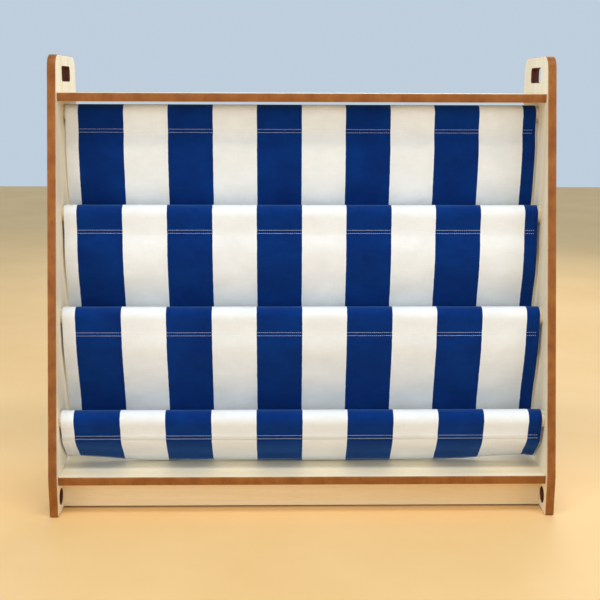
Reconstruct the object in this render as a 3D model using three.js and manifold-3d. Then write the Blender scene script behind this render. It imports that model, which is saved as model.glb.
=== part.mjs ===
// Children's sling bookshelf: two slanted side panels joined by a top shelf, a bottom shelf and a
// toe kick, with a striped canvas sling that hangs in three pockets from four round rods.
//
// Units are millimetres. +X is to the right of someone facing the bookshelf, +Y runs from front to
// back and +Z is up. The origin is on the floor, in the middle of the bookshelf's overall box.

import * as THREE from 'three';
import { mergeVertices } from 'three/addons/utils/BufferGeometryUtils.js';
import Module from 'manifold-3d';

const wasm = await Module();
wasm.setup();

// ---------------------------------------------------------------- driving dimensions

const WIDTH = 870;                 // overall, over the outer faces of the side panels
const HEIGHT = 780;
const DEPTH = 306;                 // side panel at the floor
const TOP_DEPTH = 170;             // side panel at its top edge
const BOARD = 15;                  // thickness of every board
const EASE = 2;                    // round-over on the long edges of the boards

const FOOT_HEIGHT = 70;            // the front edge is upright up to here, then leans back
const FOOT_BEND_RADIUS = 60;
const TOP_CORNER_RADIUS = 25;
const BOTTOM_CORNER_RADIUS = 3;

const SLOT_LENGTH = 70;            // carrying slot through each side panel
const SLOT_HEIGHT = 25;
const SLOT_RADIUS = 6;
const SLOT_CENTRE_DROP = 32;       // from the top of the panel to the middle of the slot

const LOW_HOLE_RADIUS = 13.5;      // round hole low in each side panel, just ahead of the toe kick
const LOW_HOLE_HEIGHT = 27;
const LOW_HOLE_TO_KICK = 0.5;

const TOP_SHELF_DROP = 64;         // from the top of the panels to the shelf's upper face
const TOP_SHELF_SETBACK = 10;      // behind the panels' front edge
const BOTTOM_SHELF_TOP = 69;       // height of the bottom shelf's upper face
const BOTTOM_SHELF_SETBACK = 10;
const KICK_SETBACK = 44;
const KICK_FLOOR_GAP = 2;

const ROD_RADIUS = 15;
const ROD_COUNT = 4;
const LOWEST_ROD_RISE = 91.5;      // from the bottom shelf up to the lowest rod's axis
const LOWEST_ROD_SETBACK = 48;     // from the front of the panels' feet
const TOP_ROD_TO_REAR = 111;       // from the top rod's axis to the panels' rear edges
const TOP_SLEEVE_GAP = 4;          // from the top shelf down to the sleeve on the top rod

const CLOTH = 2;                   // thickness of the canvas with its turned hems
const CLOTH_SIDE_GAP = 4.5;        // between the canvas and each side panel
const SLEEVE_CLEARANCE = 0.5;      // between a rod and the sleeve around it
const SEAM_BELOW_ROD = 11;         // from a rod's underside down to the top of its sleeve's seam
const SEAM_HEIGHT = 8;
const POCKET_SHELF_GAP = 2.5;      // between the lowest pocket and the bottom shelf
const POCKET_SWING = 20;           // how far a pocket's rear wall swings back below its seam

// The middle of the cloth down a pocket's rear wall, from the seam above to the lowest point, as
// [share of the way down, share of POCKET_SWING].
const REAR_WALL = [[0, 0], [0.13, 0], [0.33, 0.25], [0.55, 0.65], [0.77, 1], [0.92, 0.9], [1, 0.28]];
// The same up the front wall, as [share of the way back, share of the way down] from the seam in
// front to the lowest point.
const FRONT_WALL = [[0.69, 0.83], [0.34, 0.44], [0.1, 0.15], [0, 0]];

const CONFIRMAT = { head: 5, headDepth: 3.5, shank: 3.5, core: 2.6, length: 50, collar: 14, key: 2.3 };
const ROD_SCREW = { head: 4.5, headDepth: 3, shank: 2.5, core: 2.1, length: 55, collar: 14, key: 1.7 };
const SCREW_CLEARANCE = 0.3;       // between a screw or a dowel and the bore around it
const KEY_DEPTH = 2.5;
const SCREW_END_INSET = 40;        // from a shelf's front or rear edge to its nearest screw

const DOWEL_RADIUS = 4;
const DOWEL_LENGTH = 30;
const DOWEL_IN_PANEL = 10;         // how far a dowel goes into the face it joins to
const DOWEL_CHAMFER = 0.8;
const KICK_DOWEL_INSET = 150;      // from the side panels to the dowels on top of the toe kick
const BORE_END_CLEARANCE = 0.5;    // past the end of a screw or a dowel
const BORE_START = 1;              // how far a cut starts outside the face that it enters

const CORNER_STEPS = 6;            // facets in a rounded corner
const ROUND_STEPS = 28;            // facets around a rod or a hole
const FASTENER_STEPS = 14;
const EASE_STEPS = 2;              // facets in a round-over
const SLEEVE_STEPS = 16;           // facets around a sleeve
const POCKET_STEPS = 3;            // facets between two points of a pocket's section
const SOCKET_SIDES = 6;

// ---------------------------------------------------------------- derived places

const FRONT = -DEPTH / 2;
const REAR = DEPTH / 2;
const INNER_X = WIDTH / 2 - BOARD;
const INNER_WIDTH = 2 * INNER_X;
const SIDES = { left: -1, right: 1 };

const TOP_SHELF_TOP = HEIGHT - TOP_SHELF_DROP;
const KICK_TOP = BOTTOM_SHELF_TOP - BOARD;
const KICK_FRONT = FRONT + KICK_SETBACK;
const SLEEVE_INNER = ROD_RADIUS + SLEEVE_CLEARANCE;
const SLEEVE_OUTER = SLEEVE_INNER + CLOTH;
const SEAM_TOP_DROP = ROD_RADIUS + SEAM_BELOW_ROD;   // this and the next from a rod's axis
const SEAM_BOTTOM_DROP = SEAM_TOP_DROP + SEAM_HEIGHT;
const CLOTH_WIDTH = INNER_WIDTH - 2 * CLOTH_SIDE_GAP;

// The panels' front edge at a height above the floor.
function panelFrontAt(z) {
  const lean = (DEPTH - TOP_DEPTH) / (HEIGHT - FOOT_HEIGHT);
  return FRONT + Math.max(0, z - FOOT_HEIGHT) * lean;
}

const TOP_SHELF_FRONT = panelFrontAt(TOP_SHELF_TOP) + TOP_SHELF_SETBACK;
const BOTTOM_SHELF_FRONT = FRONT + BOTTOM_SHELF_SETBACK;

const LOWEST_ROD_Y = FRONT + LOWEST_ROD_SETBACK;
const LOWEST_ROD_Z = BOTTOM_SHELF_TOP + LOWEST_ROD_RISE;
const TOP_ROD_Y = REAR - TOP_ROD_TO_REAR;
const TOP_ROD_Z = TOP_SHELF_TOP - BOARD - TOP_SLEEVE_GAP - SLEEVE_OUTER;
const ROD_STEP_BACK = (TOP_ROD_Y - LOWEST_ROD_Y) / (ROD_COUNT - 1);
const ROD_STEP_UP = (TOP_ROD_Z - LOWEST_ROD_Z) / (ROD_COUNT - 1);
const POCKET_DROP = LOWEST_ROD_RISE - POCKET_SHELF_GAP - CLOTH / 2;   // below the rod in front

// Rods are numbered from 1 at the top to ROD_COUNT at the bottom, evenly spaced between the two.
const RODS = Array.from({ length: ROD_COUNT }, (_, index) => ({
  number: index + 1,
  y: TOP_ROD_Y - index * ROD_STEP_BACK,
  z: TOP_ROD_Z - index * ROD_STEP_UP,
}));

// ---------------------------------------------------------------- finishes

const FINISH = {
  board: { color: 0xd9c9a4, roughness: 0.5, metalness: 0 },
  rod: { color: 0xe6d3a8, roughness: 0.55, metalness: 0 },
  canvas: { color: 0x1d3f86, roughness: 0.9, metalness: 0 },
  steel: { color: 0xb9b6ac, roughness: 0.35, metalness: 0.9 },
  dowel: { color: 0xd8bd8b, roughness: 0.7, metalness: 0 },
};

const model = new THREE.Group();

function addPart(name, geometry, finish) {
  const part = new THREE.Mesh(geometry, new THREE.MeshStandardMaterial(FINISH[finish]));
  part.name = name;
  model.add(part);
  return part;
}

// ---------------------------------------------------------------- solids and booleans

function toSolid(geometry) {
  const bare = geometry.clone();
  bare.deleteAttribute('normal');
  bare.deleteAttribute('uv');
  const merged = mergeVertices(bare, 1e-4);
  return new wasm.Manifold(new wasm.Mesh({
    numProp: 3,
    vertProperties: new Float32Array(merged.attributes.position.array),
    triVerts: new Uint32Array(merged.index.array),
  }));
}

function toGeometry(solid) {
  const mesh = solid.getMesh();
  const geometry = new THREE.BufferGeometry();
  geometry.setAttribute('position', new THREE.BufferAttribute(mesh.vertProperties, mesh.numProp));
  geometry.setIndex(new THREE.BufferAttribute(mesh.triVerts, 1));
  geometry.computeVertexNormals();
  return geometry;
}

function cutAway(geometry, tools) {
  const cut = tools.reduce((solid, tool) => solid.subtract(toSolid(tool)), toSolid(geometry));
  return toGeometry(cut);
}

// ---------------------------------------------------------------- outlines and extrusions

function arcPoints(x, y, radius, from, to, steps) {
  return Array.from({ length: steps + 1 }, (_, index) => {
    const angle = from + (to - from) * index / steps;
    return new THREE.Vector2(x + radius * Math.cos(angle), y + radius * Math.sin(angle));
  });
}

function circlePoints(x, y, radius, steps) {
  return arcPoints(x, y, radius, 0, 2 * Math.PI, steps).slice(0, -1);
}

// A closed outline through corners given as [x, y, radius], with each corner rounded.
function roundedOutline(corners, steps = CORNER_STEPS) {
  const points = [];
  corners.forEach(([x, y, radius], index) => {
    const corner = new THREE.Vector2(x, y);
    if (radius === 0) {
      points.push(corner);
      return;
    }
    const before = corners[(index + corners.length - 1) % corners.length];
    const after = corners[(index + 1) % corners.length];
    const back = new THREE.Vector2(before[0], before[1]).sub(corner).normalize();
    const ahead = new THREE.Vector2(after[0], after[1]).sub(corner).normalize();
    const half = Math.acos(back.dot(ahead)) / 2;
    const middle = back.clone().add(ahead).normalize().multiplyScalar(radius / Math.sin(half));
    const centre = corner.clone().add(middle);
    const reach = radius / Math.tan(half);
    const start = corner.clone().addScaledVector(back, reach).sub(centre).angle();
    const end = corner.clone().addScaledVector(ahead, reach).sub(centre).angle();
    const turn = Math.atan2(Math.sin(end - start), Math.cos(end - start));
    points.push(...arcPoints(centre.x, centre.y, radius, start, start + turn, steps));
  });
  return points;
}

// Outlines are drawn in the Y-Z plane. This extrudes one along X, centred on x = 0.
function extrudeAlongX(outline, length, { holes = [], ease = 0 } = {}) {
  const shape = new THREE.Shape(outline);
  shape.holes = holes.map((points) => new THREE.Path(points));
  const geometry = new THREE.ExtrudeGeometry(shape, {
    depth: length - 2 * ease,
    bevelEnabled: ease > 0,
    bevelThickness: ease,
    bevelSize: ease,
    bevelOffset: -ease,
    bevelSegments: EASE_STEPS,
  });
  geometry.translate(0, 0, ease - length / 2);
  const along = new THREE.Vector3(1, 0, 0);
  const across = new THREE.Vector3(0, 1, 0);
  const up = new THREE.Vector3(0, 0, 1);
  return geometry.applyMatrix4(new THREE.Matrix4().makeBasis(across, up, along));
}

// A solid turned about the X axis, from [x, radius] pairs that start and end on the axis.
function turnAboutX(profile, steps) {
  const points = profile.map(([x, radius]) => new THREE.Vector2(radius, x));
  return new THREE.LatheGeometry(points, steps).rotateZ(-Math.PI / 2);
}

function rodAlongX(length, radius, steps) {
  return turnAboutX([[-length / 2, 0], [-length / 2, radius], [length / 2, radius], [length / 2, 0]], steps);
}

// ---------------------------------------------------------------- fasteners

// Where every screw goes: its bearing face is the outer face of a side panel.
function screwPlaces() {
  const topZ = TOP_SHELF_TOP - BOARD / 2;
  const bottomZ = BOTTOM_SHELF_TOP - BOARD / 2;
  const kickY = KICK_FRONT + BOARD / 2;
  const kickZ = (KICK_FLOOR_GAP + KICK_TOP) / 2;
  const onBoards = [
    { board: 'top_shelf', label: 'front', y: TOP_SHELF_FRONT + SCREW_END_INSET, z: topZ },
    { board: 'top_shelf', label: 'rear', y: REAR - SCREW_END_INSET, z: topZ },
    { board: 'bottom_shelf', label: 'front', y: BOTTOM_SHELF_FRONT + SCREW_END_INSET, z: bottomZ },
    { board: 'bottom_shelf', label: 'rear', y: REAR - SCREW_END_INSET, z: bottomZ },
    { board: 'toe_kick', label: 'middle', y: kickY, z: kickZ },
  ].map((place) => ({ ...place, kind: CONFIRMAT }));
  const onRods = RODS.map((rod) => ({
    board: `sling_rod_${rod.number}`, label: 'end', y: rod.y, z: rod.z, kind: ROD_SCREW,
  }));
  return [...onBoards, ...onRods];
}

// Where every dowel goes that lies along X, half in a side panel and half in a board's end.
function dowelPlaces() {
  return [
    { board: 'top_shelf', y: (TOP_SHELF_FRONT + REAR) / 2, z: TOP_SHELF_TOP - BOARD / 2 },
    { board: 'bottom_shelf', y: (BOTTOM_SHELF_FRONT + REAR) / 2, z: BOTTOM_SHELF_TOP - BOARD / 2 },
  ];
}

const SCREWS = screwPlaces();
const DOWELS = dowelPlaces();
const KICK_DOWEL_XS = { left: -INNER_X + KICK_DOWEL_INSET, right: INNER_X - KICK_DOWEL_INSET };

// A countersunk screw along +X with its head's face at x = 0 and a hexagon socket in the head.
function screwGeometry({ head, headDepth, shank, core, length, collar, key }) {
  const body = turnAboutX([
    [0, 0], [0, head], [headDepth, shank], [collar, shank],
    [collar, core], [length - 2 * core, core], [length, 0],
  ], FASTENER_STEPS);
  const socket = turnAboutX([
    [-BORE_START, 0], [-BORE_START, key], [KEY_DEPTH, key], [KEY_DEPTH, 0],
  ], SOCKET_SIDES);
  return cutAway(body, [socket]);
}

// The bore that a screw needs, from outside the panel to past the screw's tip.
function screwBore({ head, headDepth, shank, core, length, collar }) {
  const gap = SCREW_CLEARANCE;
  const slope = (head - shank) / headDepth;
  return turnAboutX([
    [-BORE_START, 0], [-BORE_START, head + gap + slope * BORE_START],
    [headDepth, shank + gap], [collar + gap, shank + gap],
    [collar + gap, core + gap], [length + BORE_END_CLEARANCE, core + gap],
    [length + BORE_END_CLEARANCE, 0],
  ], FASTENER_STEPS);
}

function dowelGeometry() {
  const end = DOWEL_LENGTH / 2;
  const tip = DOWEL_RADIUS - DOWEL_CHAMFER;
  return turnAboutX([
    [-end, 0], [-end, tip], [DOWEL_CHAMFER - end, DOWEL_RADIUS],
    [end - DOWEL_CHAMFER, DOWEL_RADIUS], [end, tip], [end, 0],
  ], FASTENER_STEPS);
}

function dowelBore() {
  return rodAlongX(DOWEL_LENGTH + 2 * BORE_END_CLEARANCE, DOWEL_RADIUS + SCREW_CLEARANCE, FASTENER_STEPS);
}

// Turns geometry that points along +X from the left panel inwards to suit either side.
function facingInwards(geometry, side) {
  return side < 0 ? geometry : geometry.rotateZ(Math.PI);
}

function screwAt(geometry, side, place) {
  return facingInwards(geometry, side).translate(side * WIDTH / 2, place.y, place.z);
}

function dowelAt(geometry, side, place) {
  const centre = INNER_X + DOWEL_IN_PANEL - DOWEL_LENGTH / 2;
  return geometry.translate(side * centre, place.y, place.z);
}

function kickDowelAt(geometry, x) {
  const centre = KICK_TOP + DOWEL_IN_PANEL - DOWEL_LENGTH / 2;
  return geometry.rotateY(Math.PI / 2).translate(x, KICK_FRONT + BOARD / 2, centre);
}

// All the bores that reach into one board or rod from the side panels.
function boresInto(board) {
  const tools = [];
  for (const side of Object.values(SIDES)) {
    for (const place of SCREWS.filter((screw) => screw.board === board)) {
      tools.push(screwAt(screwBore(place.kind), side, place));
    }
    for (const place of DOWELS.filter((dowel) => dowel.board === board)) {
      tools.push(dowelAt(dowelBore(), side, place));
    }
  }
  return tools;
}

function kickDowelBores() {
  return Object.values(KICK_DOWEL_XS).map((x) => kickDowelAt(dowelBore(), x));
}

// ---------------------------------------------------------------- boards

function sidePanelGeometry(side) {
  const outline = roundedOutline([
    [FRONT, 0, BOTTOM_CORNER_RADIUS],
    [REAR, 0, BOTTOM_CORNER_RADIUS],
    [REAR, HEIGHT, TOP_CORNER_RADIUS],
    [REAR - TOP_DEPTH, HEIGHT, TOP_CORNER_RADIUS],
    [FRONT, FOOT_HEIGHT, FOOT_BEND_RADIUS],
  ]);
  const slotZ = HEIGHT - SLOT_CENTRE_DROP;
  const slotY = (panelFrontAt(slotZ) + REAR) / 2;
  const slot = roundedOutline([
    [slotY - SLOT_LENGTH / 2, slotZ - SLOT_HEIGHT / 2, SLOT_RADIUS],
    [slotY + SLOT_LENGTH / 2, slotZ - SLOT_HEIGHT / 2, SLOT_RADIUS],
    [slotY + SLOT_LENGTH / 2, slotZ + SLOT_HEIGHT / 2, SLOT_RADIUS],
    [slotY - SLOT_LENGTH / 2, slotZ + SLOT_HEIGHT / 2, SLOT_RADIUS],
  ]);
  const lowHoleY = KICK_FRONT - LOW_HOLE_TO_KICK - LOW_HOLE_RADIUS;
  const lowHole = circlePoints(lowHoleY, LOW_HOLE_HEIGHT, LOW_HOLE_RADIUS, ROUND_STEPS);
  const board = extrudeAlongX(outline, BOARD, { holes: [slot, lowHole], ease: EASE });
  board.translate(side * (WIDTH - BOARD) / 2, 0, 0);
  const bores = SCREWS.map((place) => screwAt(screwBore(place.kind), side, place));
  bores.push(...DOWELS.map((place) => dowelAt(dowelBore(), side, place)));
  return cutAway(board, bores);
}

// A level board between the side panels, with its two front edges eased.
function shelfGeometry(front, top) {
  const outline = roundedOutline([
    [front, top - BOARD, EASE],
    [REAR, top - BOARD, 0],
    [REAR, top, 0],
    [front, top, EASE],
  ], EASE_STEPS);
  return extrudeAlongX(outline, INNER_WIDTH);
}

function toeKickGeometry() {
  const outline = roundedOutline([
    [KICK_FRONT, KICK_FLOOR_GAP, EASE],
    [KICK_FRONT + BOARD, KICK_FLOOR_GAP, EASE],
    [KICK_FRONT + BOARD, KICK_TOP, 0],
    [KICK_FRONT, KICK_TOP, 0],
  ], EASE_STEPS);
  return extrudeAlongX(outline, INNER_WIDTH);
}

function addBoards() {
  for (const [name, side] of Object.entries(SIDES)) {
    addPart(`${name}_side_panel`, sidePanelGeometry(side), 'board');
  }
  const topShelf = shelfGeometry(TOP_SHELF_FRONT, TOP_SHELF_TOP);
  addPart('top_shelf', cutAway(topShelf, boresInto('top_shelf')), 'board');
  const bottomShelf = shelfGeometry(BOTTOM_SHELF_FRONT, BOTTOM_SHELF_TOP);
  const bottomBores = [...boresInto('bottom_shelf'), ...kickDowelBores()];
  addPart('bottom_shelf', cutAway(bottomShelf, bottomBores), 'board');
  const kickBores = [...boresInto('toe_kick'), ...kickDowelBores()];
  addPart('toe_kick', cutAway(toeKickGeometry(), kickBores), 'board');
}

// ---------------------------------------------------------------- rods and sling

function addRods() {
  for (const rod of RODS) {
    const name = `sling_rod_${rod.number}`;
    const bar = rodAlongX(INNER_WIDTH, ROD_RADIUS, ROUND_STEPS).translate(0, rod.y, rod.z);
    addPart(name, cutAway(bar, boresInto(name)), 'rod');
  }
}

// Angle of the point where a line from (x, y) touches a circle about the origin, on its far side.
function touchAngle(x, y, radius) {
  return Math.atan2(y, x) + Math.acos(radius / Math.hypot(x, y));
}

// One side of a sleeve's section: down the front, to the seam, and over the rod from behind.
function sleeveLoop(rod, radius, seamRear, low) {
  const touch = touchAngle(seamRear, low, radius);
  return [
    new THREE.Vector2(rod.y - radius, rod.z + low),
    new THREE.Vector2(rod.y + seamRear, rod.z + low),
    ...arcPoints(rod.y, rod.z, radius, touch, Math.PI, SLEEVE_STEPS),
  ];
}

// Canvas tunnel around a rod. Its two layers meet in a seam below the rod's front.
function sleeveGeometry(rod) {
  const seamRear = 2 * CLOTH - SLEEVE_OUTER;
  const outside = sleeveLoop(rod, SLEEVE_OUTER, seamRear, -SEAM_TOP_DROP);
  outside[0].y = rod.z - SEAM_BOTTOM_DROP;
  outside.splice(1, 0, new THREE.Vector2(rod.y + seamRear, rod.z - SEAM_BOTTOM_DROP));
  const tunnelLow = CLOTH - SEAM_TOP_DROP;
  const tunnel = sleeveLoop(rod, SLEEVE_INNER, CLOTH / 2 - SLEEVE_INNER, tunnelLow);
  return extrudeAlongX(outside, CLOTH_WIDTH, { holes: [tunnel] });
}

// Section of the pocket behind a rod, as points from that rod's axis. It leaves the seam under
// the rod behind, swings back into a round bottom, and rises to the seam in front.
function pocketSection() {
  const flush = CLOTH / 2 - SLEEVE_OUTER;
  const start = new THREE.Vector2(ROD_STEP_BACK + flush, ROD_STEP_UP - SEAM_BOTTOM_DROP);
  const end = new THREE.Vector2(flush + CLOTH, -SEAM_BOTTOM_DROP);
  const down = start.y + POCKET_DROP;
  const rear = REAR_WALL.map(([lower, back]) => (
    new THREE.Vector2(start.x + back * POCKET_SWING, start.y - lower * down)
  ));
  const lowest = rear.at(-1);
  const front = FRONT_WALL.map(([back, lower]) => new THREE.Vector2(
    end.x + back * (lowest.x - end.x),
    end.y + lower * (lowest.y - end.y),
  ));
  return [...rear, ...front];
}

// A strip of even thickness along a smooth line, cut off level at both ends.
function stripOutline(points, thickness, steps) {
  const line = new THREE.SplineCurve(points);
  const fronts = [];
  const backs = [];
  for (let index = 0; index <= steps; index += 1) {
    const at = line.getPoint(index / steps);
    const along = line.getTangent(index / steps);
    const isEnd = index === 0 || index === steps;
    const across = isEnd
      ? new THREE.Vector2(-Math.sign(along.y), 0)
      : new THREE.Vector2(-along.y, along.x);
    fronts.push(at.clone().addScaledVector(across, thickness / 2));
    backs.push(at.clone().addScaledVector(across, -thickness / 2));
  }
  return [...fronts, ...backs.reverse()];
}

function pocketGeometry(rod) {
  const axis = new THREE.Vector2(rod.y, rod.z);
  const points = pocketSection().map((point) => point.add(axis));
  const steps = POCKET_STEPS * (points.length - 1);
  return extrudeAlongX(stripOutline(points, CLOTH, steps), CLOTH_WIDTH);
}

function addSling() {
  for (const rod of RODS) {
    addPart(`sling_sleeve_${rod.number}`, sleeveGeometry(rod), 'canvas');
  }
  for (const rod of RODS.slice(1)) {
    addPart(`sling_pocket_${rod.number - 1}`, pocketGeometry(rod), 'canvas');
  }
}

// ---------------------------------------------------------------- fasteners as parts

function addFasteners() {
  for (const [name, side] of Object.entries(SIDES)) {
    for (const place of SCREWS) {
      const screw = screwAt(screwGeometry(place.kind), side, place);
      addPart(`${place.board}_screw_${name}_${place.label}`, screw, 'steel');
    }
    for (const place of DOWELS) {
      addPart(`${place.board}_dowel_${name}`, dowelAt(dowelGeometry(), side, place), 'dowel');
    }
    addPart(`toe_kick_dowel_${name}`, kickDowelAt(dowelGeometry(), KICK_DOWEL_XS[name]), 'dowel');
  }
}

addBoards();
addRods();
addSling();
addFasteners();

export default model;
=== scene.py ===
"""The looks of a children's sling bookshelf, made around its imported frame.

Everything is in metres and in the frame's own axes: +X to the right, front at -Y, +Z up, floor at 0.
"""

import math

import bpy
import numpy as np
from mathutils import Matrix, Vector
from mathutils.geometry import tessellate_polygon


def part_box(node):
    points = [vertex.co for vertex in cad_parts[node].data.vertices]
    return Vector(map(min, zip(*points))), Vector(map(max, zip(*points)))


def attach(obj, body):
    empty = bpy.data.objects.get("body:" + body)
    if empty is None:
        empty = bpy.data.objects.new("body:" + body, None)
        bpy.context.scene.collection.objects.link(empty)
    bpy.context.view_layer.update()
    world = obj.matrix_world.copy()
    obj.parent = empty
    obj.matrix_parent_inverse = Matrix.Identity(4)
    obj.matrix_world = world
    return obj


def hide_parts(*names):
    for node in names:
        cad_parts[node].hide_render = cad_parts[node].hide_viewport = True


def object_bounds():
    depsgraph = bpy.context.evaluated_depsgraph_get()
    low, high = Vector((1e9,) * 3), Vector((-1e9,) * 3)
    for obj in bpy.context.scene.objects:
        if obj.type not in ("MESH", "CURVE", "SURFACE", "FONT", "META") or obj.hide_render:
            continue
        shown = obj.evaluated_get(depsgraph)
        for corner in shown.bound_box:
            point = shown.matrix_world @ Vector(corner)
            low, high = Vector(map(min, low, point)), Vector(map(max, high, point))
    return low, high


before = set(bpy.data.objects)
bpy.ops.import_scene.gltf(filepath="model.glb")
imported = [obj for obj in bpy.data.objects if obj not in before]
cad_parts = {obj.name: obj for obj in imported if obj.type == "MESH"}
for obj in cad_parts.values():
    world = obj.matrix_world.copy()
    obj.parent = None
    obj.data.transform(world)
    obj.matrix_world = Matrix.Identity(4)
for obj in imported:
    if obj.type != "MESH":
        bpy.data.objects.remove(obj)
cad_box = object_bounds()

MM = 0.001
BODY = "root"
SIDES = {"left": -1, "right": 1}

# ---------------------------------------------------------------- sizes of the boards

PANEL_LOW, PANEL_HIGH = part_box("left_side_panel")
WIDTH = -2 * PANEL_LOW.x
HEIGHT = PANEL_HIGH.z
FRONT = PANEL_LOW.y
REAR = PANEL_HIGH.y
BOARD = PANEL_HIGH.x - PANEL_LOW.x

TOP_DEPTH = 170 * MM
FOOT_HEIGHT = 70 * MM
FOOT_BEND_RADIUS = 60 * MM
TOP_CORNER_RADIUS = 25 * MM
BOTTOM_CORNER_RADIUS = 3 * MM
SLOT_LENGTH = 70 * MM
SLOT_HEIGHT = 25 * MM
SLOT_RADIUS = 6 * MM
SLOT_CENTRE_DROP = 32 * MM
LOW_HOLE_RADIUS = 13.5 * MM
LOW_HOLE_HEIGHT = 27 * MM
LOW_HOLE_TO_KICK = 0.5 * MM
EASE = 2 * MM                      # round-over on the boards' long edges
END_EASE = 0.2 * MM                # on ends that butt against a side panel
EASE_STEPS = 4
CORNER_STEPS = 16
FACE_NORMAL = 0.98                 # the least a broad face's normal points along its board's thin way

# ---------------------------------------------------------------- sizes of the sling

RODS = (1, 2, 3, 4)                # numbered from the top down
POCKETS = (1, 2, 3)
CANVAS = 1 * MM                    # thickness of one layer
SLEEVE_LOW, SLEEVE_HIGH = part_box("sling_sleeve_1")
CLOTH_SHIFT = -1 * MM              # the cloth lies a little left of the middle
CLOTH_HALF = SLEEVE_HIGH.x
CLOTH_WIDTH = 2 * CLOTH_HALF
ROD_CLEARANCE = 0.5 * MM
SEAM_HEIGHT = 8 * MM
SEAM_FORWARD = {1: 14.5 * MM, 2: 14.5 * MM, 3: 14.5 * MM, 4: 9.5 * MM}   # ahead of each rod's axis
LAYER_STEP = 1.15 * MM             # from the front layer of a seam to the one behind it
POCKET_SHELF_GAP = 1 * MM          # from the lowest pocket down to the bottom shelf
END_LIFT = 9 * MM                  # how far a pocket's bottom rises at the cloth's side edges
END_LIFT_FROM = 0.6                # where that rise starts, as a share of the half width

# The cloth's way down each pocket's rear wall, as (share of the way down, distance behind its seam).
REAR_WALLS = {
    1: ((0.12, -6 * MM), (0.32, -4 * MM), (0.52, 2 * MM), (0.77, 15 * MM), (0.92, 15 * MM), (1, 7 * MM)),
    2: ((0.12, -4 * MM), (0.28, -2 * MM), (0.52, 10 * MM), (0.77, 19 * MM), (0.92, 17 * MM), (1, 8 * MM)),
    3: ((0.09, 1 * MM), (0.29, 11 * MM), (0.55, 26 * MM), (0.77, 32 * MM), (0.92, 28 * MM), (1, 14 * MM)),
}
# And up its front wall, as (share of the way back, share of the way down) from the seam in front.
FRONT_WALL = ((0.74, 0.90), (0.42, 0.56), (0.15, 0.26))

STRIPE = 78.6 * MM
FIRST_STRIPE = 22.6 * MM           # width of the part stripe at the left edge
HEM_STEPS = (0, 0.5 * MM, 2 * MM, 5 * MM, 8 * MM, 11 * MM, 12.2 * MM)   # from a side edge inwards
CLOTH_STEP = 5.4 * MM              # distance between the cloth mesh's points

STITCH_PITCH = 3.4 * MM
STITCH_LENGTH = 2.6 * MM
STITCH_RADIUS = 0.27 * MM
SEAM_ROWS = (0.6 * MM, 6.2 * MM)   # from the top of a seam down to each row of stitches
HEM_ROW = 9.5 * MM                 # from a side edge to the hem's row of stitches

SLACK = 1.5 * MM                   # height of the long ripples in the pockets
SLACK_LENGTH = 260 * MM
SLACK_STRETCH = 0.35               # under 1 draws a ripple out down the cloth
SOFT = 0.45 * MM                   # height of the small ones
SOFT_LENGTH = 70 * MM
PUCKER = 0.16 * MM                 # height of the gathers at a seam
PUCKER_LENGTH = 17 * MM
PUCKER_STRETCH = 0.1
PUCKER_REACH = 9 * MM
CURL = 1.6 * MM                    # how far a side edge curls back in a pocket
CURL_REACH = 16 * MM
EDGE_THICKNESS = 0.15              # square of the share of its thickness that a side edge keeps
HEM_FOLD = 0.9                     # layers that a turned hem adds behind the cloth


# ---------------------------------------------------------------- materials

def srgb(red, green, blue):
    """A linear colour from the 0-255 numbers of a colour picker."""
    def linear(channel):
        c = channel / 255
        return c / 12.92 if c <= 0.04045 else ((c + 0.055) / 1.055) ** 2.4
    return (linear(red), linear(green), linear(blue), 1)


MAPLE_PALE = srgb(243, 232, 208)
MAPLE_DEEP = srgb(233, 214, 177)
# The kick board's laminate is painted deeper and warmer than the other boards': painted shade from the
# overhanging bottom shelf, and painted warm floor bounce.
KICK_SHADED_PALE = srgb(236, 214, 172)
KICK_SHADED_DEEP = srgb(224, 194, 144)
PORE = srgb(150, 112, 70)
STAIN_PALE = srgb(150, 92, 38)
STAIN_DEEP = srgb(128, 70, 22)
STAIN_STREAK = srgb(88, 44, 14)
# Paler stain along the arrises: worn stain and a painted highlight on the eased edges.
STAIN_WORN_HIGHLIGHT = srgb(206, 158, 104)
# Walls of the panels' holes and the boards' hidden ends: the edge stain painted much darker, as painted
# shade inside the holes.
CUT_SHADED_PALE = srgb(82, 32, 10)
CUT_SHADED_DEEP = srgb(64, 22, 6)
ROD_PALE = srgb(216, 202, 174)
ROD_DEEP = srgb(196, 176, 142)
BEECH_PALE = srgb(222, 190, 144)
BEECH_DEEP = srgb(196, 156, 108)
GRAIN_LINE = srgb(176, 134, 84)
ZINC_PALE = srgb(196, 194, 186)
ZINC_DEEP = srgb(168, 164, 152)
CREAM_PALE = srgb(238, 237, 234)
CREAM_DEEP = srgb(221, 220, 215)
NAVY_PALE = srgb(4, 49, 118)
NAVY_DEEP = srgb(0, 27, 86)
NAVY_SHEEN = (0.2, 0.5, 1, 1)
PALE_THREAD = srgb(240, 240, 236)
PALE_THREAD_DEEP = srgb(212, 210, 204)
NAVY_THREAD = srgb(10, 44, 112)
NAVY_THREAD_DEEP = srgb(4, 28, 84)
FLOOR_PALE = srgb(241, 199, 136)
FLOOR_DEEP = srgb(235, 190, 124)

STRIPE_TURN = (-0.030, -0.006)     # the stripes' wave is cream below the first and navy above the second
STRIPE_WOBBLE = 1.1 * MM
WEAVE_PITCH = 1.3 * MM


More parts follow.
